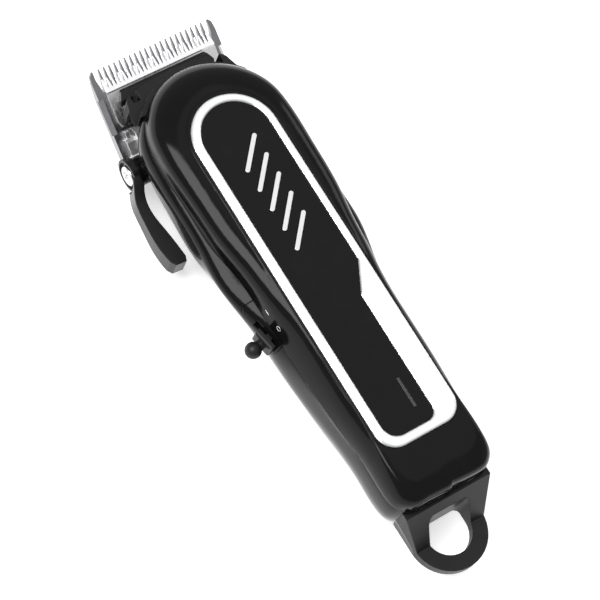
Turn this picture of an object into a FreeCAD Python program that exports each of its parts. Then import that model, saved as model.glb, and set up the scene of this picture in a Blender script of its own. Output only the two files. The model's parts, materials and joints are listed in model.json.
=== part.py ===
import FreeCAD, Part
import math
import os

# Cordless hair clipper with a taper lever, built as separate pieces.
#
# Frame: millimetres, +Y towards the blade tips, +Z up through the trim ring,
# +X to the right with the blade pointing away, so the taper lever and the slide
# switch are on the -X side.  The origin is the middle of the flat rest face.

V = FreeCAD.Vector

# ---------------------------------------------------------------- dimensions
PART_Z = 27.5          # height of the joint between the two shells
TOP_Z = 37.0           # flat top face of the upper shell
WALL = 1.9             # shell wall

BLADE_W = 45.0         # width of the fixed blade
BLADE_LEN = 28.5       # tip to rear edge of the fixed blade, along the blade
BLADE_T = 3.0          # thickness of the fixed blade behind the teeth
BLADE_TILT = 26.0      # the blade rises towards its tips by this angle
TIP_Y = 100.4          # fixed blade tips
TIP_Z = 18.0           # cutting plane at the tips
FIXED_GAPS = 22
FIXED_PITCH = 1.86

CUTTER_W = 39.4
CUTTER_GAPS = 27
CUTTER_PITCH = 1.39
CUTTER_SET = 3.3       # cutter tips stand this far behind the fixed tips
CUTTER_T = 1.4
CUTTER_LIFT = 0.1      # oil film between cutter and fixed blade
CRANK_R = 1.2          # half stroke of the cutter

LEVER_Y = 67.3         # taper lever pivot, an axis along X
LEVER_Z = 12.3
LEVER_CAM = 3.0        # offset of the cam pin from the pivot

RING_W = 27.9          # trim ring, across
RING_C = 56.0          # centre of its round front end
RING_REAR = -49.4
RING_CORNER = 6.6

MOTOR_R = 10.2
MOTOR_Y0 = 37.0
MOTOR_Y1 = 66.0
MOTOR_Z = 17.5

CELL_R = 9.15          # one 18650 cell
CELL_LEN = 65.0
CELL_Y0 = -50.0
CELL_Z = 12.2

SPRING_Y = 71.5        # tension spring, the bridge of its wire
SPRING_Z = 25.6
SPRING_R = 0.5

SWITCH_Y = -0.3        # slide switch in its off position
SWITCH_Z = 25.0
SWITCH_TRAVEL = 4.5
SWITCH_TURN = 10.2     # the slide follows the flare of the side wall

LOOP_R = 12.4          # hanging loop, outside radius
LOOP_Y = -74.2         # centre of the loop's round end
LOOP_Z0 = 9.0
LOOP_Z1 = 12.5
HOLE_R = 7.5


# ------------------------------------------------------------------- helpers
def box(x0, x1, y0, y1, z0, z1):
    return Part.makeBox(x1 - x0, y1 - y0, z1 - z0, V(x0, y0, z0))


def cyl_x(x0, x1, y, z, r):
    return Part.makeCylinder(r, x1 - x0, V(x0, y, z), V(1, 0, 0))


def cyl_y(y0, y1, x, z, r):
    return Part.makeCylinder(r, y1 - y0, V(x, y0, z), V(0, 1, 0))


def cyl_z(z0, z1, x, y, r):
    return Part.makeCylinder(r, z1 - z0, V(x, y, z0), V(0, 0, 1))


def slab_yz(points, x0, x1):
    """Prism with its outline in the YZ plane, running from x0 to x1."""
    ring = [V(x0, y, z) for y, z in points]
    face = Part.Face(Part.makePolygon(ring + ring[:1]))
    return face.extrude(V(x1 - x0, 0, 0))


def slab_xy(points, z0, z1):
    """Prism with its outline in the XY plane, running from z0 to z1."""
    ring = [V(x, y, z0) for x, y in points]
    face = Part.Face(Part.makePolygon(ring + ring[:1]))
    return face.extrude(V(0, 0, z1 - z0))


def fuse(shapes):
    out = shapes[0]
    if len(shapes) > 1:
        out = out.fuse(shapes[1:])
    return out.removeSplitter()


def solid(shape):
    """The single solid of a shape, or the largest where a cut left crumbs."""
    return max(shape.Solids, key=lambda s: s.Volume)


def on_blade(shape):
    """Lay a shape built flat (tips at y = 0, cutting plane z = 0) on the blade."""
    out = shape.copy()
    out.Placement = FreeCAD.Placement(V(0, TIP_Y, TIP_Z),
                                      FreeCAD.Rotation(V(1, 0, 0), BLADE_TILT))
    return out


def soften(shape, radius, pick):
    """Fillet the edges that pick(edge) accepts."""
    edges = [e for e in shape.Edges if pick(e)]
    return shape.makeFillet(radius, edges)


# Places along the body where each section's half widths are given, as shares
# of the run from the rear corner to the centre of the front arc.
STATIONS = (0.09, 0.22, 0.37, 0.487, 0.571, 0.655, 0.739, 0.874)


def outline_points(z, rear, corner, widths, front_c, front, inset=0.0):
    """Points of the closed body outline at one height, from the rear middle.

    widths are the half widths at STATIONS and, last, at front_c, from where
    a half ellipse closes the front.
    """
    half = [w - inset for w in widths]
    side = rear + corner
    rear = rear + inset
    corner = corner - inset * 0.6
    front = front - inset
    right = [V(half[0] * 0.45, rear, z)]
    for deg in (0, 30, 60, 90):
        a = math.radians(deg)
        right.append(V(half[0] - corner + corner * math.sin(a),
                       rear + corner - corner * math.cos(a), z))
    right += [V(w, side + t * (front_c - side), z) for t, w in zip(STATIONS, half)]
    for deg in (0, 18, 36, 54, 72):
        a = math.radians(deg)
        right.append(V(half[-1] * math.cos(a),
                       front_c + (front - front_c) * math.sin(a), z))
    left = [V(-p.x, p.y, z) for p in reversed(right)]
    return [V(0, rear, z)] + right + [V(0, front, z)] + left


def chord_steps(points):
    """Curve parameters in proportion to the distance along the points."""
    steps = [0.0]
    for p, q in zip(points, points[1:] + points[:1]):
        steps.append(steps[-1] + (q - p).Length)
    return steps


def outline(level, inset, steps):
    curve = Part.BSplineCurve()
    curve.interpolate(Points=outline_points(*level, inset=inset),
                      PeriodicFlag=True, Parameters=steps)
    return Part.Wire([curve.toShape()])


# Body sections from the rest face up: height, rear end, corner radius,
# half widths at the stations and at the centre of the front arc, that centre,
# front end.
LOWER = (
    (-1.2, -53.5, 4.5, (5.6, 5.6, 5.6, 5.6, 5.6, 5.6, 5.6, 5.6, 5.5), 44.0, 49.5),
    (0.2, -57.6, 5.0, (9.8, 9.8, 9.8, 9.8, 9.8, 9.8, 9.8, 9.8, 9.8), 50.0, 60.0),
    (2.2, -61.2, 6.2, (11.9, 12.9, 13.9, 14.4, 14.7, 15.1, 15.5, 15.8, 16.0),
     57.0, 70.0),
    (5.5, -63.6, 6.8, (13.2, 14.4, 15.5, 16.2, 16.7, 17.3, 18.6, 19.1, 18.7),
     62.5, 79.0),
    (10.5, -65.2, 7.0, (15.2, 16.4, 17.5, 18.3, 18.8, 19.6, 21.0, 21.3, 20.7),
     63.5, 82.5),
    (17.0, -66.0, 7.0, (17.4, 18.3, 19.8, 20.7, 21.4, 22.4, 23.9, 23.9, 23.2),
     63.0, 84.0),
    (23.0, -66.3, 6.8, (17.9, 18.6, 19.9, 21.4, 23.5, 25.0, 24.9, 24.6, 24.3),
     62.5, 85.0),
    (25.6, -66.3, 6.8, (17.8, 18.5, 19.7, 20.7, 22.7, 24.4, 24.5, 24.3, 24.0),
     62.2, 85.2),
    (PART_Z, -66.3, 6.8, (17.6, 18.6, 19.3, 19.5, 19.7, 20.2, 22.0, 22.4, 22.7),
     62.0, 85.2),
)
UPPER = (
    (PART_Z, -66.3, 6.8, (17.6, 18.6, 19.3, 19.5, 19.7, 20.2, 22.0, 22.4, 22.7),
     62.0, 85.2),
    (31.5, -66.0, 6.8, (17.3, 17.8, 18.1, 18.4, 19.2, 20.1, 21.4, 22.1, 22.3),
     61.5, 83.6),
    (34.7, -64.8, 6.8, (16.3, 16.6, 16.7, 17.1, 18.2, 19.1, 20.4, 21.1, 21.1),
     60.0, 79.6),
    (36.2, -61.8, 6.8, (15.5, 15.6, 15.7, 16.0, 16.7, 17.4, 18.2, 18.7, 18.6),
     58.5, 75.6),
    (TOP_Z, -51.9, 6.8, (14.7, 14.7, 14.7, 14.7, 14.7, 14.7, 14.7, 14.7, 14.7),
     56.0, 71.4),
    (37.4, -42.0, 6.0, (12.0, 12.0, 12.0, 12.0, 12.0, 12.0, 12.0, 12.0, 12.0),
     54.0, 66.0),
)


def skin(levels, inset=0.0, floor=None, ceiling=None):
    """Loft through the body sections drawn in by inset, cut level where asked."""
    steps = chord_steps(outline_points(*levels[len(levels) // 2], inset=inset))
    wires = [outline(level, inset, steps) for level in levels]
    out = Part.makeLoft(wires, True, False)
    if floor is not None:
        out = out.cut(box(-60, 60, -120, 120, floor - 20, floor))
    if ceiling is not None:
        out = out.cut(box(-60, 60, -120, 120, ceiling, ceiling + 20))
    return out


def trim_outline(z, half, centre, rear, corner):
    """Round front end, straight sides and round rear corners."""
    a = corner * (1 - math.sqrt(0.5))
    top = Part.Arc(V(-half, centre, z), V(0, centre + half, z), V(half, centre, z))
    right = Part.Arc(V(half, rear + corner, z), V(half - a, rear + a, z),
                     V(half - corner, rear, z))
    left = Part.Arc(V(corner - half, rear, z), V(a - half, rear + a, z),
                    V(-half, rear + corner, z))
    return Part.Wire([
        top.toShape(),
        Part.makeLine(V(half, centre, z), V(half, rear + corner, z)),
        right.toShape(),
        Part.makeLine(V(half - corner, rear, z), V(corner - half, rear, z)),
        left.toShape(),
        Part.makeLine(V(-half, rear + corner, z), V(-half, centre, z)),
    ])


def prism(wire, height):
    return Part.Face(wire).extrude(V(0, 0, height))


# Inlay: narrow behind the diagonal step on its right-hand side.
INLAY_HALF = 11.25
INLAY_SHIFT = 0.35      # the ring is wider on its left side
INLAY_REAR = -46.4
STEP_X = 5.8
STEP_Y0 = -4.4
STEP_Y1 = 5.8


def inlay_body(grow, z0, z1):
    """The panel inside the trim ring, grown outwards by grow."""
    half = INLAY_HALF + grow
    rear = INLAY_REAR - grow
    full = prism(trim_outline(z0, half, RING_C, rear, 5.0 + grow), z1 - z0)
    rise = grow * 0.5
    wide = slab_xy([(STEP_X + grow, rear - 1), (half + 1, rear - 1),
                    (half + 1, STEP_Y1 + rise), (half, STEP_Y1 + rise - grow),
                    (STEP_X + grow, STEP_Y0 - rise)], z0, z1)
    body = full.cut(wide)
    corner = box(STEP_X + grow - 3.4, STEP_X + grow + 1, rear - 1, rear + 3.4, z0, z1)
    round_off = corner.cut(cyl_z(z0, z1, STEP_X + grow - 3.4, rear + 3.4, 3.4))
    body = body.cut(round_off)
    body.translate(V(INLAY_SHIFT, 0, 0))
    return body


# ------------------------------------------------------------------ openings
# Everything ahead of this side outline is kept free for the blade set.
FRONT_CUT = [(72.6, -5.0), (72.6, 13.0), (77.0, 22.0), (77.0, 30.0), (99.0, 30.0),
             (99.0, -5.0)]
SCREW_SEATS = ((10.0, -54.0), (14.8, 27.0))


def seats():
    return [(s * x, y) for x, y in SCREW_SEATS for s in (-1, 1)]


def switch_tab(grow):
    """Tongue of the upper shell that carries the switch slot."""
    return slab_yz([(-4.8 - grow, 22.4 - grow), (8.6 + grow, 22.4 - grow),
                    (11.4 + grow, 25.6 - grow), (11.4 + grow, PART_Z + 0.01),
                    (-4.8 - grow, PART_Z + 0.01)], -30, -16)


# -------------------------------------------------------------------- shells
def make_lower_shell():
    outer = skin(LOWER, 0.0, 0.0)
    cavity = skin(LOWER, WALL, 2.0)
    shell = outer.cut(cavity)
    posts = []
    for x, y in seats():
        posts.append(cyl_z(1.0, 26.9, x, y, 2.9))
    for y in (CELL_Y0 + 8, CELL_Y0 + 32, CELL_Y0 + 56):
        rib = box(-16, 16, y - 0.7, y + 0.7, 1.0, CELL_Z)
        posts.append(rib.cut(cyl_y(y - 1, y + 1, 0, CELL_Z, CELL_R + 0.1)))
    for y in (MOTOR_Y0 + 3.5, MOTOR_Y1 - 5):
        rib = box(-22, 22, y - 0.8, y + 0.8, 1.0, MOTOR_Z - 1)
        posts.append(rib.cut(cyl_y(y - 1, y + 1, 0, MOTOR_Z, MOTOR_R + 0.1)))
    inner = Part.makeCompound(posts).common(skin(LOWER, 0.6, 0.8))
    shell = fuse([shell] + inner.Solids)
    boss = cyl_x(-24.2, -18.4, LEVER_Y, LEVER_Z, 4.6)
    shell = fuse([shell, boss])
    shell = shell.cut(slab_yz(FRONT_CUT, -40, 40))
    tools = [cyl_x(-40, -17, LEVER_Y, LEVER_Z, 2.55)]
    tools.append(cyl_x(-40, -24.2, LEVER_Y, LEVER_Z, 5.9))
    tools.append(cyl_x(-18.1, -13, LEVER_Y, LEVER_Z, 4.9))
    tools.append(box(-16.8, -13.8, 61.4, 75, 6.2, 14.5))
    for x, y in seats():
        tools.append(cyl_z(-1, 9.0, x, y, 2.3))
        tools.append(cyl_z(8, 30, x, y, 1.25))
    tools.append(switch_tab(0.15).common(box(-40, -16, -20, 20, 20, 30)))
    tools.append(box(-6.1, 6.1, -70, -60, 11.9, 20.1))
    tools.append(cyl_x(9, 25, -44.0, 15.0, 4.1))
    return solid(shell.cut(tools))


def make_upper_shell():
    outer = skin(UPPER, 0.0, None, TOP_Z)
    cavity = skin(UPPER, WALL, None, 35.0)
    shell = outer.cut(cavity)
    seat = prism(trim_outline(36.1, RING_W / 2 + 0.05, RING_C, RING_REAR - 0.05,
                              RING_CORNER), 3)
    shell = shell.cut(seat)
    tab_skin = skin(LOWER, 0.0, 20.0).cut(skin(LOWER, 1.8, 18.0))
    tab = tab_skin.common(switch_tab(0.0))
    posts = [cyl_z(27.0, 35.5, x, y, 2.6) for x, y in seats()]
    shell = fuse([shell, solid(tab)] + posts)
    tools = [cyl_z(26, 33.5, x, y, 1.0) for x, y in seats()]
    tools.append(box(-30, -16, -1.9, 5.7, 23.9, 26.1))
    tools.append(box(1.35, 2.25, -41.0, -31.0, 30, 40))
    return solid(shell.cut(tools))


def make_trim_ring():
    outer = prism(trim_outline(36.1, RING_W / 2, RING_C, RING_REAR, RING_CORNER), 1.8)
    ring = outer.cut(inlay_body(0.0, 36.0, 39.0))
    top = [e for e in ring.Edges if e.BoundBox.ZMin > 37.8]
    return solid(ring.makeChamfer(0.35, top))


SLOT_Y = [17.0 + 7.0 * i for i in range(5)]


def pill(y0, half_w, z0, z1):
    """Bar with round ends lying diagonally across the inlay."""
    x0, x1 = -3.0, 4.9
    y1 = y0 + 8.9
    run = math.hypot(x1 - x0, y1 - y0)
    bar = fuse([box(0, run, -half_w, half_w, z0, z1), cyl_z(z0, z1, 0, 0, half_w),
                cyl_z(z0, z1, run, 0, half_w)])
    angle = math.degrees(math.atan2(y1 - y0, x1 - x0))
    bar.Placement = FreeCAD.Placement(V(x0, y0, 0),
                                      FreeCAD.Rotation(V(0, 0, 1), angle))
    return bar


def make_inlay_panel():
    panel = inlay_body(-0.05, 36.1, 37.3)
    tools = [pill(y, 0.95, 36.6, 38) for y in SLOT_Y]
    tools.append(box(1.35, 2.25, -41.0, -31.0, 35, 40))
    return solid(panel.cut(tools))


def make_panel_inserts():
    return Part.makeCompound([pill(y, 0.7, 36.6, 37.45) for y in SLOT_Y])


def make_light_pipe():
    head = box(1.4, 2.2, -40.95, -31.05, 34.0, 37.35)
    foot = box(0.3, 3.3, -38.0, -34.0, 29.2, 34.9)
    return fuse([head, foot])


# ----------------------------------------------------------------- blade set
def make_fixed_blade():
    half = BLADE_W / 2
    blade = slab_yz([(0.0, -0.1), (0.0, -0.8), (-9.0, -BLADE_T),
                     (-BLADE_LEN, -BLADE_T), (-BLADE_LEN, 0.0), (-7.5, 0.0)],
                    -half, half)
    first = -FIXED_PITCH * (FIXED_GAPS - 1) / 2
    gaps = []
    for i in range(FIXED_GAPS):
        x = first + i * FIXED_PITCH
        gaps.append(slab_xy([(x - 0.76, 1), (x + 0.76, 1), (x + 0.76, 0.0),
                             (x + 0.50, -4.4), (x + 0.42, -7.2), (x - 0.42, -7.2),
                             (x - 0.50, -4.4), (x - 0.76, 0.0)], -5, 1))
    for s in (-1, 1):
        gaps.append(slab_xy([(s * 20.2, 1), (s * 20.75, 1), (s * 20.75, -3.0),
                             (s * 20.0, -6.4), (s * 19.8, -6.4)], -5, 1))
        gaps.append(slab_xy([(s * (half - 1.0), 1), (s * (half + 1), 1),
                             (s * (half + 1), -3.4), (s * half, -3.4),
                             (s * (half - 0.3), -1.0), (s * (half - 1.0), -0.2)],
                            -5, 1))
        bevel = Part.makePolygon([V(s * 20.9, -9.0, 0.2), V(s * 23.0, -9.0, 0.2),
                                  V(s * 23.0, -9.0, -1.9), V(s * 20.9, -9.0, 0.2)])
        gaps.append(Part.Face(bevel).extrude(V(0, -11.5, 0)))
    blade = blade.cut(gaps)
    holes = [cyl_z(-5, 1, s * 10.5, -25.6, 1.6) for s in (-1, 1)]
    holes += [Part.makeCone(2.6, 1.6, 1.1, V(s * 10.5, -25.6, -BLADE_T), V(0, 0, 1))
              for s in (-1, 1)]
    return on_blade(solid(blade.cut(holes)))


def make_moving_cutter():
    half = CUTTER_W / 2
    z0 = CUTTER_LIFT
    z1 = z0 + CUTTER_T
    plate = slab_yz([(-CUTTER_SET, z0), (-CUTTER_SET, z0 + 0.25), (-7.65, z1),
                     (-7.95, z1 - 0.5), (-19.2, z1 - 0.5), (-19.2, z0)],
                    -half, half)
    first = -CUTTER_PITCH * (CUTTER_GAPS - 1) / 2
    gaps = []
    for i in range(CUTTER_GAPS):
        x = first + i * CUTTER_PITCH
        gaps.append(slab_xy([(x - 0.52, -2), (x + 0.52, -2), (x + 0.52, -3.4),
                             (x + 0.20, -6.4), (x - 0.20, -6.4), (x - 0.52, -3.4)],
                            -1, 4))
    for s in (-1, 1):
        gaps.append(slab_xy([(s * (half - 0.9), -2), (s * (half + 1), -2),
                             (s * (half + 1), -6.8), (s * half, -6.8)], -1, 4))
        gaps.append(slab_xy([(s * (half - 1.2), -20), (s * (half + 1), -20),
                             (s * (half + 1), -17.2), (s * half, -17.2)], -1, 4))
    holes = [cyl_z(-1, 4, s * 11.0, -15.0, 1.5) for s in (-1, 1)]
    return on_blade(solid(plate.cut(gaps + holes)))


def make_cutter_follower():
    """Plastic carrier on the cutter with the fork that straddles the crank."""
    top = CUTTER_LIFT + CUTTER_T - 0.5
    base = slab_yz([(-8.4, top), (-9.3, top + 1.5), (-11.6, top + 2.0),
                    (-13.0, top + 0.7), (-19.0, top + 0.7), (-19.0, top)],
                   -17.0, 17.0)
    for s in (-1, 1):
        base = base.cut(slab_xy([(s * 14.6, -7), (s * 18, -7), (s * 18, -12.5),
                                 (s * 17.0, -11.6)], top - 1, 9))
        base = base.cut(slab_xy([(s * 12.4, -20), (s * 18, -20), (s * 18, -13.2),
                                 (s * 15.6, -13.2)], top - 1, 9))
    pegs = [cyl_z(CUTTER_LIFT + 0.1, top + 0.5, s * 11.0, -15.0, 1.45)
            for s in (-1, 1)]
    flat = on_blade(fuse([base] + pegs))
    fork = slab_yz([(82.4, 11.1), (86.9, 13.2), (86.9, 15.2), (83.0, 20.5),
                    (75.6, 20.5), (75.6, 15.2), (79.8, 15.2)], -5.6, 5.6)
    fork = fork.cut(box(-3.65, 3.65, 70, 79.6, 5, 30))
    return solid(fuse([flat, fork]))


def make_blade_bracket():
    """Cast frame over the rear of the fixed blade, with the lever arm."""
    foot = slab_yz([(-BLADE_LEN + 0.3, 0), (-23.0, 0), (-23.0, 2.0), (-24.0, 2.8),
                    (-BLADE_LEN + 0.3, 2.8)], -20.4, 20.4)
    foot = foot.cut([cyl_z(-1, 4, s * 10.5, -25.6, 1.25) for s in (-1, 1)])
    raised = []
    for s in (-1, 1):
        x0, x1 = sorted((s * 14.2, s * 16.9))
        raised.append(slab_yz([(-20.4, 0), (-20.4, 1.4), (-22.4, 3.9), (-27.3, 3.9),
                               (-27.3, 0)], x0, x1))
        x0, x1 = sorted((s * 18.0, s * 19.4))
        raised.append(slab_yz([(-20.4, 0), (-20.4, 1.6), (-20.9, 2.0), (-24.5, 2.0),
                               (-24.5, 0)], x0, x1))
    flat = on_blade(fuse([foot] + raised))
    arm = slab_yz([(76.4, 8.6), (76.4, 11.4), (71.6, 13.2), (64.2, 13.2),
                   (64.2, 6.8), (70.6, 6.8), (73.2, 8.0)], -16.4, -14.3)
    cam_y, cam_z = cam_centre()
    slot = slab_yz([(-1.6, -2.6), (1.6, -2.6), (1.6, 2.0), (-1.6, 2.0)], -20, -12)
    slot.Placement = FreeCAD.Placement(V(0, cam_y, cam_z),
                                       FreeCAD.Rotation(V(1, 0, 0), BLADE_TILT))
    return solid(fuse([flat, arm]).cut(slot))


def cam_centre():
    """Cam pin centre: below the pivot, square to the blade."""
    a = math.radians(BLADE_TILT)
    return LEVER_Y + LEVER_CAM * math.sin(a), LEVER_Z - LEVER_CAM * math.cos(a)


def make_blade_screws():
    screws = []
    for s in (-1, 1):
        head = Part.makeCone(2.5, 1.2, 1.1, V(s * 10.5, -25.6, -BLADE_T + 0.05),
                             V(0, 0, 1))
        shank = cyl_z(-2.1, 2.4, s * 10.5, -25.6, 1.2)
        x = s * 10.5
        cross = fuse([box(x - 1.4, x + 1.4, -25.9, -25.3, -4, -2.3),
                      box(x - 0.3, x + 0.3, -27.0, -24.2, -4, -2.3)])
        screws.append(on_blade(fuse([head, shank]).cut(cross)))
    return Part.makeCompound(screws)


# --------------------------------------------------------------- taper lever
def make_taper_lever():
    hub = cyl_x(-26.8, -24.5, LEVER_Y, LEVER_Z, 5.4)
    rim = hub.cut(cyl_x(-27.5, -26.1, LEVER_Y, LEVER_Z, 4.5))
    outer = [V(-25.4, 69.0, 0), V(-27.8, 63.5, 0), V(-30.1, 58.2, 0),
             V(-31.0, 52.0, 0), V(-31.5, 43.0, 0), V(-30.7, 36.2, 0)]
    inner = [V(-25.5, 36.0, 0), V(-25.6, 38.0, 0), V(-26.4, 46.0, 0),
             V(-27.2, 54.0, 0), V(-26.6, 58.0, 0), V(-25.1, 61.4, 0)]
    a = Part.BSplineCurve()
    a.interpolate(outer)
    b = Part.BSplineCurve()
    b.interpolate(inner)
    plan = Part.Wire([a.toShape(), Part.makeLine(outer[-1], V(-29.7, 34.7, 0)),
                      Part.makeLine(V(-29.7, 34.7, 0), V(-26.2, 34.4, 0)),
                      Part.makeLine(V(-26.2, 34.4, 0), inner[0]), b.toShape(),
                      Part.makeLine(inner[-1], V(-25.1, 69.0, 0)),
                      Part.makeLine(V(-25.1, 69.0, 0), outer[0])])
    bar = Part.Face(plan).extrude(V(0, 0, 40))
    side = [V(-60, 70.5, 15.2), V(-60, 66.0, 17.0), V(-60, 58.0, 15.6),
            V(-60, 48.0, 14.9), V(-60, 33.0, 15.6)]
    under = [V(-60, 33.0, 8.6), V(-60, 46.0, 9.2), V(-60, 57.0, 9.6),
             V(-60, 66.0, 8.2), V(-60, 70.5, 9.2)]
    c = Part.BSplineCurve()
    c.interpolate(side)
    d = Part.BSplineCurve()
    d.interpolate(under)
    profile = Part.Wire([c.toShape(), Part.makeLine(side[-1], under[0]), d.toShape(),
                         Part.makeLine(under[-1], side[0])])
    bar = bar.common(Part.Face(profile).extrude(V(60, 0, 0)))
    bar = bar.cut(cyl_x(-40, -26.1, LEVER_Y, LEVER_Z, 5.4))
    lever = fuse([rim, bar])
    bore = box(-30, -20, LEVER_Y - 1.8, LEVER_Y + 1.8, LEVER_Z - 1.8, LEVER_Z + 1.8)
    return solid(lever.cut(bore))


def make_lever_cam():
    """Pivot shaft with a square end for the lever and the cam pin inside."""
    shaft = cyl_x(-24.4, -17.8, LEVER_Y, LEVER_Z, 2.5)
    square = box(-25.9, -24.0, LEVER_Y - 1.75, LEVER_Y + 1.75,
                 LEVER_Z - 1.75, LEVER_Z + 1.75)
    disc = cyl_x(-17.8, -16.9, LEVER_Y, LEVER_Z, 4.5)
    cam_y, cam_z = cam_centre()
    pin = cyl_x(-16.9, -14.0, cam_y, cam_z, 1.45)
    cam = fuse([shaft, square, disc, pin])
    return solid(cam.cut(cyl_x(-27, -21, LEVER_Y, LEVER_Z, 1.1)))


def make_lever_screw():
    head = cyl_x(-27.2, -26.1, LEVER_Y, LEVER_Z, 3.3)
    rim = [e for e in head.Edges if e.BoundBox.XMax < -27.1]
    head = head.makeFillet(0.6, rim)
    shank = cyl_x(-26.2, -21.2, LEVER_Y, LEVER_Z, 1.1)
    cross = fuse([box(-28, -26.5, LEVER_Y - 1.9, LEVER_Y + 1.9,
                      LEVER_Z - 0.4, LEVER_Z + 0.4),
                  box(-28, -26.5, LEVER_Y - 0.4, LEVER_Y + 0.4,
                      LEVER_Z - 1.9, LEVER_Z + 1.9)])
    return solid(fuse([head, shank]).cut(cross))


# -------------------------------------------------------------------- front
def make_front_chassis():
    """Black frame behind the blade: nose, ribbed arc, drive window and rails."""
    nose = Part.Wire([
        Part.Arc(V(-15.6, 87.4, 14), V(0, 88.8, 14), V(15.6, 87.4, 14)).toShape(),
        Part.Arc(V(15.6, 87.4, 14), V(17.3, 86.4, 14), V(18.4, 84.2, 14)).toShape(),
        Part.makeLine(V(18.4, 84.2, 14), V(20.0, 79.6, 14)),
        Part.makeLine(V(20.0, 79.6, 14), V(20.0, 77.3, 14)),
        Part.makeLine(V(20.0, 77.3, 14), V(-20.0, 77.3, 14)),
        Part.makeLine(V(-20.0, 77.3, 14), V(-20.0, 79.6, 14)),
        Part.makeLine(V(-20.0, 79.6, 14), V(-18.4, 84.2, 14)),
        Part.Arc(V(-18.4, 84.2, 14), V(-17.3, 86.4, 14),
                 V(-15.6, 87.4, 14)).toShape(),
    ])
    body = prism(nose, 8.2)
    crown = cyl_z(22.0, 27.4, 0, 61.0, 25.2).common(box(-24, 24, 77.3, 90, 20, 30))
    body = fuse([body, crown])
    body = body.cut(cyl_z(13, 28, 0, 61.0, 22.6).common(box(-30, 30, 60, 90, 13, 28)))
    body = body.cut(box(-16.8, 16.8, 60, 85.6, 10, 21.0))
    body = body.cut(box(-8.2, 8.2, 60, 92, 10, 21.4))
    for s in (-1, 1):
        x0, x1 = sorted((s * 14.6, s * 24.0))
        body = body.cut(box(x0, x1, 70, 82.4, 10, 22.0))
        x0, x1 = sorted((s * 13.6, s * 16.3))
        body = body.cut(box(x0, x1, 84.2, 90, 10, 23))
    body = body.cut(on_blade(box(-30, 30, -40, 2, -6, 4.4)))
    pieces = [solid(body)]
    for s in (-1, 1):
        x0, x1 = sorted((s * 4.8, s * 8.2))
        rail = box(x0, x1, 68.5, 84.0, 23.4, 27.2)
        pieces.append(rail.cut(cyl_x(-20, 20, SPRING_Y, SPRING_Z, SPRING_R)))
    for i in range(-11, 12):
        a = math.radians(90 + 3.3 * i)
        pieces.append(cyl_z(22.1, 26.6, 25.1 * math.cos(a),
                            61.0 + 25.1 * math.sin(a), 0.45))
    return solid(fuse(pieces))


def make_tension_spring():
    """Bent wire that holds the follower down on the fixed blade."""
    pieces = [cyl_x(-9.5, 9.5, SPRING_Y, SPRING_Z, SPRING_R)]
    for s in (-1, 1):
        path = [V(s * 9.5, SPRING_Y, SPRING_Z), V(s * 14.0, 79.0, 19.9),
                V(s * 15.0, 86.3, 14.8)]
        pieces.append(Part.makeSphere(SPRING_R, path[0]))
        for p, q in zip(path, path[1:]):
            pieces.append(Part.makeCylinder(SPRING_R, (q - p).Length, p, q - p))
            pieces.append(Part.makeSphere(SPRING_R, q))
    return solid(fuse(pieces))


# -------------------------------------------------------------------- motor
def make_motor_can():
    can = cyl_y(MOTOR_Y0, MOTOR_Y1, 0, MOTOR_Z, MOTOR_R)
    can = can.cut(cyl_y(MOTOR_Y0 - 1, MOTOR_Y1 - 0.9, 0, MOTOR_Z, MOTOR_R - 0.8))
    nose = cyl_y(MOTOR_Y1 - 0.9, MOTOR_Y1 + 1.6, 0, MOTOR_Z, 3.0)
    can = fuse([can, nose])
    return solid(can.cut(cyl_y(MOTOR_Y1 - 2, MOTOR_Y1 + 3, 0, MOTOR_Z, 1.05)))


def make_motor_magnets():
    ring = cyl_y(MOTOR_Y0 + 4, MOTOR_Y1 - 4, 0, MOTOR_Z, MOTOR_R - 0.8)
    ring = ring.cut(cyl_y(MOTOR_Y0, MOTOR_Y1, 0, MOTOR_Z, 8.2))
    halves = []
    for s in (-1, 1):
        x0, x1 = sorted((s * 2.6, s * 12))
        halves.append(solid(ring.common(box(x0, x1, 0, 100, 0, 40))))
    return Part.makeCompound(halves)


def make_motor_endcap():
    cap = cyl_y(MOTOR_Y0 - 2.6, MOTOR_Y0, 0, MOTOR_Z, MOTOR_R)
    spigot = cyl_y(MOTOR_Y0, MOTOR_Y0 + 1.6, 0, MOTOR_Z, MOTOR_R - 0.8)
    cap = fuse([cap, spigot])
    return solid(cap.cut(cyl_y(MOTOR_Y0 - 4, MOTOR_Y0 + 4, 0, MOTOR_Z, 1.05)))


def make_motor_terminals():
    tabs = []
    for s in (-1, 1):
        tabs.append(box(s * 6 - 1.1, s * 6 + 1.1, MOTOR_Y0 - 6.2, MOTOR_Y0 - 2.6,
                        MOTOR_Z - 0.2, MOTOR_Z + 0.2))
    return Part.makeCompound(tabs)


def make_motor_armature():
    core = cyl_y(MOTOR_Y0 + 6, MOTOR_Y1 - 6, 0, MOTOR_Z, 7.7)
    for k in range(3):
        slot = box(-0.8, 0.8, MOTOR_Y0, MOTOR_Y1, 3.4, 9)
        slot.Placement = FreeCAD.Placement(V(0, 0, MOTOR_Z),
                                           FreeCAD.Rotation(V(0, 1, 0), 120 * k))
        core = core.cut(slot)
    core = fuse([core, cyl_y(MOTOR_Y0 + 2.4, MOTOR_Y0 + 7.0, 0, MOTOR_Z, 2.6)])
    return core.cut(cyl_y(0, 100, 0, MOTOR_Z, 1.0))


def make_motor_shaft():
    return cyl_y(MOTOR_Y0 - 3.6, MOTOR_Y1 + 5.4, 0, MOTOR_Z, 1.0)


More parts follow.
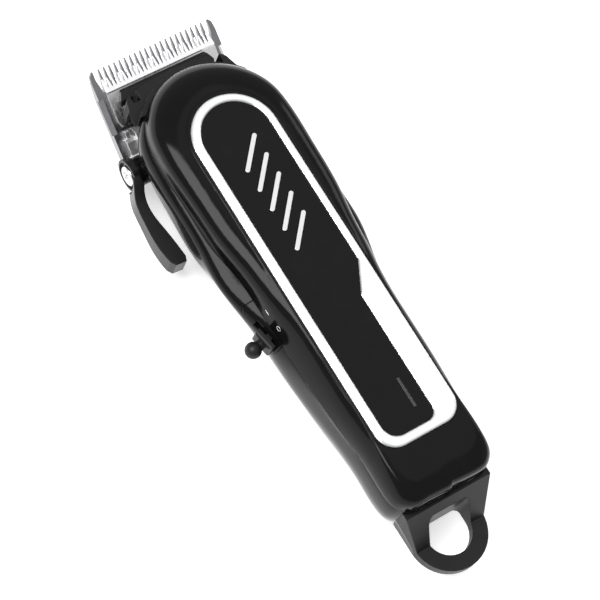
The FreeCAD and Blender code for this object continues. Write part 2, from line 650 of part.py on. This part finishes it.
def make_drive_crank():
    hub = cyl_y(MOTOR_Y1 + 2.2, MOTOR_Y1 + 6.2, 0, MOTOR_Z, 3.4)
    weight = cyl_y(MOTOR_Y1 + 2.2, MOTOR_Y1 + 4.2, 0, MOTOR_Z, 5.0)
    weight = weight.cut(box(-6, 6, 60, 80, MOTOR_Z, 40))
    pin = cyl_y(MOTOR_Y1 + 6.2, 78.6, 0, MOTOR_Z + CRANK_R, 1.0)
    crank = fuse([hub, weight, pin])
    return solid(crank.cut(cyl_y(60, MOTOR_Y1 + 5.4, 0, MOTOR_Z, 1.0)))


# -------------------------------------------------------------- electronics
def make_battery_cell():
    cell = cyl_y(CELL_Y0, CELL_Y0 + CELL_LEN - 1.2, 0, CELL_Z, CELL_R)
    ends = [e for e in cell.Edges if e.BoundBox.YLength < 0.1]
    cell = cell.makeFillet(0.6, ends)
    cap = cyl_y(CELL_Y0 + CELL_LEN - 1.3, CELL_Y0 + CELL_LEN, 0, CELL_Z, 3.2)
    return fuse([cell, cap])


def make_battery_tabs():
    """Nickel strips from each end of the cell up to the circuit board."""
    tabs = []
    for y0, y1, z0 in ((CELL_Y0 - 0.3, CELL_Y0, 9.0),
                       (CELL_Y0 + CELL_LEN, CELL_Y0 + CELL_LEN + 0.3, 9.4)):
        tabs.append(box(-3, 3, y0, y1, z0, 24.0))
    return Part.makeCompound(tabs)


def make_circuit_board():
    board = box(-12.5, 12.5, -51.5, 22.0, 24.0, 25.2)
    notch = [cyl_z(20, 30, x, y, 3.4) for x, y in seats()]
    return solid(board.cut(notch))


def make_slide_switch():
    """Switch case on the board, with a window for the knob's slider."""
    case = box(-14.6, -10.0, -5.5, 10.5, 25.2, 30.4)
    return case.cut(box(-16, -11.6, -4.4, 9.4, 25.9, 29.7))


def make_switch_knob():
    """Thumb pad and ball outside the slot, slider inside the switch case."""
    z = SWITCH_Z
    base = box(-23.9, -21.9, -3.6, 3.6, z - 3.3, z + 2.5)
    pad = soften(base, 1.0, lambda e: e.BoundBox.XMax < -23.8)
    neck = cyl_x(-26.8, -23.0, 0, z - 0.4, 1.7)
    ball = Part.makeSphere(2.6)
    ball.rotate(V(0, 0, 0), V(0, 0, 1), 180)
    ball.translate(V(-26.9, 0, z - 0.4))
    stem = box(-22.2, -15.2, -1.1, 1.1, z - 0.8, z + 0.8)
    riser = box(-16.0, -15.1, -1.1, 1.1, z - 0.8, 28.6)
    slider = box(-15.3, -12.2, -1.1, 1.1, 27.0, 28.6)
    knob = solid(fuse([pad, neck, ball, stem, riser, slider]))
    knob.translate(V(0, SWITCH_Y, 0))
    knob.rotate(V(-21.5, SWITCH_Y, 0), V(0, 0, 1), SWITCH_TURN)
    return knob


def make_indicator_led():
    return box(0.4, 3.2, -37.6, -34.4, 25.2, 26.8)


def make_charge_socket():
    """Barrel inlet in the right-hand wall, with its centre pin."""
    case = cyl_x(9.4, 18.6, -44.0, 15.0, 4.0)
    case = case.cut(cyl_x(10.8, 30, -44.0, 15.0, 2.8))
    pin = cyl_x(10.0, 17.0, -44.0, 15.0, 0.9)
    outer = skin(LOWER, 0.15, 1.0)
    return solid(fuse([case, pin]).common(outer))


def make_housing_screws():
    screws = []
    for x, y in seats():
        head = cyl_z(7.4, 9.0, x, y, 2.1)
        shank = cyl_z(9.0, 33.0, x, y, 1.0)
        cross = fuse([box(x - 1.2, x + 1.2, y - 0.3, y + 0.3, 7, 8.2),
                      box(x - 0.3, x + 0.3, y - 1.2, y + 1.2, 7, 8.2)])
        screws.append(solid(fuse([head, shank]).cut(cross)))
    return Part.makeCompound(screws)


# -------------------------------------------------------------- hanging loop
def make_hang_loop():
    ring = prism(trim_outline(LOOP_Z0, LOOP_R, 0, -40, 5), LOOP_Z1 - LOOP_Z0)
    ring.rotate(V(0, 0, 0), V(0, 0, 1), 180)
    ring.translate(V(0, LOOP_Y, 0))
    ring = ring.common(box(-20, 20, -100, -64.0, 0, 40))
    wedge = slab_yz([(-64.0, LOOP_Z0), (-64.0, 26.6), (-67.2, 26.6),
                     (-75.5, LOOP_Z1), (-75.5, LOOP_Z0)], -20, 20)
    plan = slab_xy([(-15.2, -60), (-15.2, -67.2), (-12.3, -75.6), (12.3, -75.6),
                    (15.2, -67.2), (15.2, -60)], 0, 40)
    rear_view = Part.makePolygon([V(-12.2, -50, 8), V(-12.9, -50, LOOP_Z1),
                                  V(-15.2, -50, 19.5), V(-15.2, -50, 28),
                                  V(15.2, -50, 28), V(15.2, -50, 19.5),
                                  V(12.9, -50, LOOP_Z1), V(12.2, -50, 8),
                                  V(-12.2, -50, 8)])
    flare = Part.Face(rear_view).extrude(V(0, -40, 0))
    loop = fuse([ring, wedge.common(plan).common(flare)])
    hole = prism(trim_outline(0, HOLE_R, 0, -4.9, 2.0), 60)
    hole.rotate(V(0, 0, 0), V(0, 0, 1), 180)
    hole.translate(V(0, LOOP_Y, 0))
    loop = loop.cut(hole)
    body = skin(LOWER)
    loop = loop.cut(body)
    tongue = box(-6.0, 6.0, -67.0, -61.2, 12.0, 20.0)
    return solid(fuse([solid(loop), tongue]))


NODES = {
    "upper_shell": make_upper_shell,
    "lower_shell": make_lower_shell,
    "trim_ring": make_trim_ring,
    "inlay_panel": make_inlay_panel,
    "panel_inserts": make_panel_inserts,
    "light_pipe": make_light_pipe,
    "hang_loop": make_hang_loop,
    "front_chassis": make_front_chassis,
    "fixed_blade": make_fixed_blade,
    "blade_bracket": make_blade_bracket,
    "blade_screws": make_blade_screws,
    "moving_cutter": make_moving_cutter,
    "cutter_follower": make_cutter_follower,
    "tension_spring": make_tension_spring,
    "taper_lever": make_taper_lever,
    "lever_screw": make_lever_screw,
    "lever_cam": make_lever_cam,
    "motor_can": make_motor_can,
    "motor_endcap": make_motor_endcap,
    "motor_magnets": make_motor_magnets,
    "motor_terminals": make_motor_terminals,
    "motor_armature": make_motor_armature,
    "motor_shaft": make_motor_shaft,
    "drive_crank": make_drive_crank,
    "battery_cell": make_battery_cell,
    "battery_tabs": make_battery_tabs,
    "circuit_board": make_circuit_board,
    "indicator_led": make_indicator_led,
    "slide_switch": make_slide_switch,
    "switch_knob": make_switch_knob,
    "charge_socket": make_charge_socket,
    "housing_screws": make_housing_screws,
}

os.makedirs("parts", exist_ok=True)
for name, make in NODES.items():
    shape = make()
    shape.exportStep("parts/%s.step" % name)
    print("%-16s solids %d, valid %s, volume %.1f"
          % (name, len(shape.Solids), shape.isValid(), shape.Volume))
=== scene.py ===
import json
import math

import bmesh
import bpy
from mathutils import Matrix, Vector
from mathutils.bvhtree import BVHTree


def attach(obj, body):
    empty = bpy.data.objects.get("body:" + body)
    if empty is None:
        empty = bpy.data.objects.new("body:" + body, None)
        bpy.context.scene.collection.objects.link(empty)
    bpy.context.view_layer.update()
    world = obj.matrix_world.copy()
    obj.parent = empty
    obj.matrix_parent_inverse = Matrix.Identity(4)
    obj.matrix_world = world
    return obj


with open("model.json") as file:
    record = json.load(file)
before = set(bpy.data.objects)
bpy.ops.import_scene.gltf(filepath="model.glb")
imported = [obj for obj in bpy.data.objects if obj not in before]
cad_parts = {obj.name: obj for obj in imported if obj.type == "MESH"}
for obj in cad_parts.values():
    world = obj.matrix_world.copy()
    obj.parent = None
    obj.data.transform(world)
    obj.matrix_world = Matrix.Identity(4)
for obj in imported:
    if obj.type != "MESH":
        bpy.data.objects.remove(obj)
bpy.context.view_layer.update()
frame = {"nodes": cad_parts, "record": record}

MM = 0.001
NODES = frame["nodes"]


# ------------------------------------------------------------------ materials
class Graph:
    """A small helper that adds and links shader nodes in one material."""

    def __init__(self, name):
        self.mat = bpy.data.materials.new(name)
        self.mat.use_nodes = True
        self.tree = self.mat.node_tree
        self.bsdf = self.tree.nodes["Principled BSDF"]
        self.coord = self.tree.nodes.new("ShaderNodeTexCoord").outputs["Object"]

    def node(self, kind, inputs=None, **props):
        n = self.tree.nodes.new(kind)
        for key, value in props.items():
            setattr(n, key, value)
        for key, value in (inputs or {}).items():
            self.put(n.inputs[key], value)
        return n

    def put(self, socket, value):
        if isinstance(value, bpy.types.NodeSocket):
            self.tree.links.new(value, socket)
        else:
            socket.default_value = value

    def math(self, op, a, b):
        return self.node("ShaderNodeMath", {0: a, 1: b}, operation=op).outputs[0]

    def stretch(self, scale):
        inputs = {"Vector": self.coord, "Scale": scale}
        return self.node("ShaderNodeMapping", inputs).outputs[0]

    def noise(self, scale, detail=3.0, rough=0.55, vector=None):
        inputs = {"Vector": vector or self.coord, "Scale": scale, "Detail": detail,
                  "Roughness": rough}
        return self.node("ShaderNodeTexNoise", inputs).outputs["Fac"]

    def range(self, value, lo, hi, out_lo, out_hi):
        """Rescale value from lo..hi to out_lo..out_hi, clamped at both ends."""
        inputs = {"Value": value, "From Min": lo, "From Max": hi, "To Min": out_lo,
                  "To Max": out_hi}
        return self.node("ShaderNodeMapRange", inputs, clamp=True).outputs[0]

    def mix(self, fac, a, b):
        n = self.node("ShaderNodeMix", {0: fac}, data_type="RGBA")
        self.put(n.inputs[6], a)
        self.put(n.inputs[7], b)
        return n.outputs[2]

    def rounded(self, radius):
        """The surface normal with every edge rounded off by radius."""
        return self.node("ShaderNodeBevel", {"Radius": radius}, samples=4).outputs[0]

    def edges(self, radius, lo=0.02, hi=0.25):
        """1 on convex or concave edges, 0 on open faces."""
        soft = self.rounded(radius)
        geo = self.node("ShaderNodeNewGeometry").outputs["Normal"]
        dot = self.node("ShaderNodeVectorMath", {0: soft, 1: geo}, operation="DOT_PRODUCT")
        bent = self.math("SUBTRACT", 1.0, dot.outputs["Value"])
        return self.range(bent, lo, hi, 0.0, 1.0)

    def bump(self, height, strength, distance, bevel=None):
        inputs = {"Height": height, "Strength": strength, "Distance": distance}
        if bevel:
            inputs["Normal"] = self.rounded(bevel)
        return self.node("ShaderNodeBump", inputs).outputs[0]

    def set(self, **values):
        for key, value in values.items():
            self.put(self.bsdf.inputs[key.replace("_", " ")], value)


def rgb(r, g=None, b=None):
    """A colour with full alpha; one value alone is a grey."""
    g = r if g is None else g
    b = r if b is None else b
    return (r, g, b, 1.0)


def scaled(colour, gain, lift=0.0):
    """The same colour, gain times as bright and lifted, never past white."""
    return rgb(*(min(1.0, c * gain + lift) for c in colour))


WEAR_REACH = 1.2       # edge wear spreads a little past the edge's own rounding

def gloss_plastic(name, colour, rough, spec, smudge=0.5, bevel=0.0004):
    """Moulded glossy plastic: handling smudges, hairline scratches, faint edge wear."""
    g = Graph(name)
    cloud = g.noise(90.0, 4.0, 0.6)
    smear = g.noise(420.0, 2.0, 0.5, g.stretch((1.0, 0.35, 1.0)))
    fine = g.noise(3800.0, 2.0, 0.6)
    hair = g.noise(900.0, 1.0, 0.4, g.stretch((1.0, 0.03, 1.0)))
    marks = g.math("MULTIPLY", g.range(cloud, 0.45, 0.72, 0.0, 1.0),
                   g.range(smear, 0.4, 0.7, 0.3, 1.0))
    scratch = g.range(hair, 0.70, 0.78, 0.0, 0.05)
    r = g.math("ADD", rough, g.math("MULTIPLY", marks, 0.12 * smudge))
    r = g.math("ADD", r, scratch)
    r = g.math("ADD", r, g.range(fine, 0.3, 0.7, -0.015, 0.02))
    wear = g.math("MULTIPLY", g.edges(bevel * WEAR_REACH),
                  g.range(g.noise(700.0), 0.42, 0.66, 0.0, 1.0))
    tint = g.mix(g.math("MULTIPLY", marks, 0.35), rgb(*colour),
                 scaled(colour, 1.5, 0.0015))
    tint = g.mix(g.math("MULTIPLY", wear, 0.35), tint, rgb(0.05))
    g.set(Base_Color=tint, Roughness=r, Specular_IOR_Level=spec)
    g.set(Normal=g.bump(g.noise(260.0, 2.0), 0.03, 0.00012, bevel))
    return g.mat


def matte_plastic(name, colour, rough, spec, grain=2600.0, bevel=0.00035):
    """Spark-eroded or satin moulded plastic with a fine grain."""
    g = Graph(name)
    grainy = g.noise(grain, 3.0, 0.65)
    cloud = g.noise(140.0, 3.0)
    wear = g.math("MULTIPLY", g.edges(bevel * WEAR_REACH),
                  g.range(g.noise(900.0), 0.4, 0.65, 0.0, 1.0))
    tint = g.mix(g.range(cloud, 0.35, 0.7, 0.0, 0.5), rgb(*colour),
                 scaled(colour, 1.6, 0.002))
    tint = g.mix(g.math("MULTIPLY", wear, 0.5), tint, scaled(colour, 2.0, 0.06))
    r = g.math("ADD", rough, g.range(grainy, 0.3, 0.7, -0.05, 0.07))
    r = g.math("SUBTRACT", r, g.math("MULTIPLY", wear, 0.1))
    g.set(Base_Color=tint, Roughness=r, Specular_IOR_Level=spec)
    g.set(Normal=g.bump(grainy, 0.22, 0.00006, bevel))
    return g.mat


def metal(name, colour, rough, brush=(1.0, 1.0, 1.0), brush_scale=900.0, depth=0.1,
          grime=0.4, bevel=0.0003):
    """Metal with a brushing direction, dull patches and bright worn edges."""
    g = Graph(name)
    lines = g.noise(brush_scale, 4.0, 0.7, g.stretch(brush))
    cloud = g.noise(160.0, 4.0, 0.6)
    wear = g.math("MULTIPLY", g.edges(bevel * WEAR_REACH), 0.5)
    dull = g.range(cloud, 0.42, 0.75, 0.0, grime)
    tint = g.mix(dull, rgb(*colour), scaled(colour, 0.62))
    tint = g.mix(g.range(lines, 0.35, 0.65, 0.0, 0.25), tint, scaled(colour, 0.8))
    tint = g.mix(wear, tint, scaled(colour, 1.25, 0.05))
    r = g.math("ADD", rough, g.range(lines, 0.3, 0.7, -0.05, 0.08))
    r = g.math("ADD", r, g.math("MULTIPLY", dull, 0.15))
    g.set(Base_Color=tint, Roughness=r, Metallic=1.0)
    g.set(Normal=g.bump(lines, depth, 0.00005, bevel))
    return g.mat


def board_green():
    """Solder mask over a grid of copper tracks."""
    g = Graph("board_green")
    inputs = {"Vector": g.coord, "Scale": 260.0, "Mortar Size": 0.03,
              "Color1": rgb(0.0), "Color2": rgb(0.0), "Mortar": rgb(1.0)}
    traces = g.node("ShaderNodeTexBrick", inputs).outputs["Fac"]
    tint = g.mix(traces, rgb(0.012, 0.09, 0.035), rgb(0.03, 0.19, 0.07))
    g.set(Base_Color=tint, Roughness=g.range(g.noise(900.0), 0.3, 0.7, 0.28, 0.42))
    g.set(Normal=g.bump(traces, 0.2, 0.00005))
    return g.mat


MATS = {
    "gloss_black": gloss_plastic("gloss_black", (0.0035, 0.0035, 0.0037), 0.11, 0.12),
    "inlay_black": gloss_plastic("inlay_black", (0.0050, 0.0050, 0.0052), 0.26, 0.10, 0.8),
    "lever_black": gloss_plastic("lever_black", (0.0045, 0.0045, 0.0047), 0.24, 0.22, 0.8),
    "light_lens": gloss_plastic("light_lens", (0.030, 0.030, 0.031), 0.25, 0.4),
    "cell_wrap": gloss_plastic("cell_wrap", (0.02, 0.12, 0.30), 0.3, 0.4),
    "satin_black": matte_plastic("satin_black", (0.0055, 0.0055, 0.0057), 0.40, 0.22),
    "knob_black": matte_plastic("knob_black", (0.0070, 0.0070, 0.0073), 0.40, 0.25, 3200.0),
    "moulded_grey": matte_plastic("moulded_grey", (0.06, 0.06, 0.062), 0.5, 0.4),
    "magnet_grey": matte_plastic("magnet_grey", (0.03, 0.03, 0.032), 0.6, 0.4),
    "board_green": board_green(),
    "polished_trim": metal("polished_trim", (0.93, 0.94, 0.95), 0.14, brush_scale=300.0,
                           depth=0.02, grime=0.10, bevel=0.0011),
    "satin_silver": metal("satin_silver", (0.72, 0.72, 0.72), 0.42, (1.0, 0.2, 1.0),
                          depth=0.05, grime=0.2),
    "blade_steel": metal("blade_steel", (0.30, 0.30, 0.31), 0.27, (1.0, 0.05, 1.0),
                         1400.0, 0.2),
    "cutter_steel": metal("cutter_steel", (0.90, 0.90, 0.91), 0.26, (1.0, 0.05, 1.0),
                          1400.0, 0.12, grime=0.15),
    "cast_zinc": metal("cast_zinc", (0.82, 0.82, 0.82), 0.34, depth=0.15),
    "screw_steel": metal("screw_steel", (0.72, 0.72, 0.73), 0.22, depth=0.05),
    "motor_steel": metal("motor_steel", (0.45, 0.46, 0.47), 0.3, (1.0, 0.1, 1.0)),
    "brass_tab": metal("brass_tab", (0.72, 0.52, 0.22), 0.3),
    "nickel_tab": metal("nickel_tab", (0.66, 0.65, 0.62), 0.3),
}
SHARP_EDGE = math.radians(28)

for part in frame["record"]["subparts"]:
    mesh = NODES[part["node"]].data
    mesh.materials.clear()
    mesh.materials.append(MATS[part["material_slot"]])
    mesh.shade_smooth()
    mesh.set_sharp_from_angle(angle=SHARP_EDGE)


# ------------------------------------------------------------ detail pieces
MARK_SUNK = 0.25 * MM          # how far a mark reaches into the shell
MARK_PROUD = 0.08 * MM         # and how far it stands out of it
MARK_Z = 30.4 * MM
MARK_ON_Y = 5.6 * MM
MARK_OFF_Y = -0.3 * MM


def ride_on_shell(name, loops, y, z):
    """A thin mark on the left side of the upper shell, facing outwards.

    loops holds its outline, and the outline of its hole if it has one.
    """
    depsgraph = bpy.context.evaluated_depsgraph_get()
    tree = BVHTree.FromObject(NODES["upper_shell"], depsgraph)
    hit, normal, _, _ = tree.ray_cast(Vector((-30 * MM, y, z)), Vector((1, 0, 0)))
    side = Vector((0, 1, 0)).cross(normal).normalized()
    up = normal.cross(side).normalized()

    mesh = bpy.data.meshes.new(name)
    bm = bmesh.new()

    def ring(loop, height):
        return [bm.verts.new(hit + side * x + up * y + normal * height)
                for x, y in loop]

    def bridge(a, b):
        """Quads between two rings of the same length."""
        for i in range(len(a)):
            j = (i + 1) % len(a)
            bm.faces.new((a[i], a[j], b[j], b[i]))

    rings = [(ring(loop, -MARK_SUNK), ring(loop, MARK_PROUD)) for loop in loops]
    for low, high in rings:
        bridge(low, high)
    if len(rings) == 1:
        low, high = rings[0]
        bm.faces.new(high)
        bm.faces.new(list(reversed(low)))
    else:
        for outer, inner in zip(*rings):
            bridge(outer, inner)
    bmesh.ops.recalc_face_normals(bm, faces=bm.faces)
    bm.to_mesh(mesh)
    bm.free()
    mesh.materials.append(MATS["satin_silver"])

    mark = bpy.data.objects.new(name, mesh)
    bpy.context.collection.objects.link(mark)
    bevel = mark.modifiers.new("soft", "BEVEL")
    bevel.width = 0.03 * MM
    bevel.segments = 2
    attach(mark, "housing")


def build_switch_marks():
    """A bar for on and a ring for off, beside the switch."""
    w, h = 0.11 * MM, 0.9 * MM
    ride_on_shell("mark_on", [[(-w, -h), (w, -h), (w, h), (-w, h)]], MARK_ON_Y, MARK_Z)
    turn = [2 * math.pi * i / 28 for i in range(28)]
    loops = [[(r * 0.8 * math.cos(a), r * math.sin(a)) for a in turn]
             for r in (0.88 * MM, 0.68 * MM)]
    ride_on_shell("mark_off", loops, MARK_OFF_Y, MARK_Z)


build_switch_marks()


# ------------------------------------------------------------- studio, camera
def softbox(name, place, aim, size, power):
    """A rectangular white light at place, turned to aim."""
    data = bpy.data.lights.new(name, "AREA")
    data.shape = "RECTANGLE"
    data.size, data.size_y = size
    data.energy = power
    lamp = bpy.data.objects.new(name, data)
    lamp.location = place
    turn = (Vector(aim) - Vector(place)).to_track_quat("-Z", "Y")
    lamp.rotation_euler = turn.to_euler()
    bpy.context.collection.objects.link(lamp)


FLOOR_HALF = 3.0
FLOOR_GAP = 0.2 * MM


def build_floor():
    """Plain white paper, lit a little from below so that it has almost no shadow."""
    g = Graph("studio_floor")
    g.set(Base_Color=g.mix(g.noise(6.0), rgb(0.93), rgb(0.95)), Specular_IOR_Level=0.1)
    g.set(Roughness=g.range(g.noise(30.0), 0.3, 0.7, 0.7, 0.8))
    g.set(Emission_Color=rgb(1.0), Emission_Strength=0.45)
    mesh = bpy.data.meshes.new("studio_floor")
    bm = bmesh.new()
    bmesh.ops.create_grid(bm, x_segments=4, y_segments=4, size=FLOOR_HALF)
    bm.to_mesh(mesh)
    bm.free()
    mesh.materials.append(g.mat)
    floor = bpy.data.objects.new("studio_floor", mesh)
    floor.location = (0.0, 0.0, -FLOOR_GAP)
    bpy.context.collection.objects.link(floor)


def build_world():
    """Even white light from all round."""
    world = bpy.data.worlds.new("studio")
    world.use_nodes = True
    back = world.node_tree.nodes["Background"]
    back.inputs["Color"].default_value = rgb(1.0)
    back.inputs["Strength"].default_value = 0.62
    bpy.context.scene.world = world


CAMERA_AIM = Vector((-0.00299, 0.00720, 0.018))
CAMERA_DISTANCE = 0.71995
CAMERA_RIGHT = Vector((0.82274, -0.52278, 0.22318))
CAMERA_UP = Vector((0.42684, 0.82749, 0.36480))


def build_camera():
    """The view from the lever side, above and a little behind."""
    back = CAMERA_RIGHT.cross(CAMERA_UP).normalized()
    right = CAMERA_UP.cross(back).normalized()
    up = back.cross(right)
    data = bpy.data.cameras.new("camera")
    data.lens = 144.1
    data.sensor_width = 36.0
    data.clip_start, data.clip_end = 0.05, 20.0
    cam = bpy.data.objects.new("camera", data)
    turn = Matrix((right, up, back)).transposed()
    place = CAMERA_AIM + back * CAMERA_DISTANCE
    cam.matrix_world = Matrix.Translation(place) @ turn.to_4x4()
    bpy.context.collection.objects.link(cam)
    bpy.context.scene.camera = cam


build_floor()
build_world()
softbox("key_left", (-0.50, 0.24, 1.02), (0, 0.02, 0.02), (0.60, 0.72), 14.0)
softbox("fill_right", (0.95, 0.15, 0.55), (0, 0.02, 0.02), (0.5, 0.25), 1.2)
softbox("overhead", (0.55, 0.35, 1.3), (0, 0.0, 0.0), (1.1, 0.9), 1.8)
build_camera()
bpy.context.scene.view_settings.view_transform = "Standard"
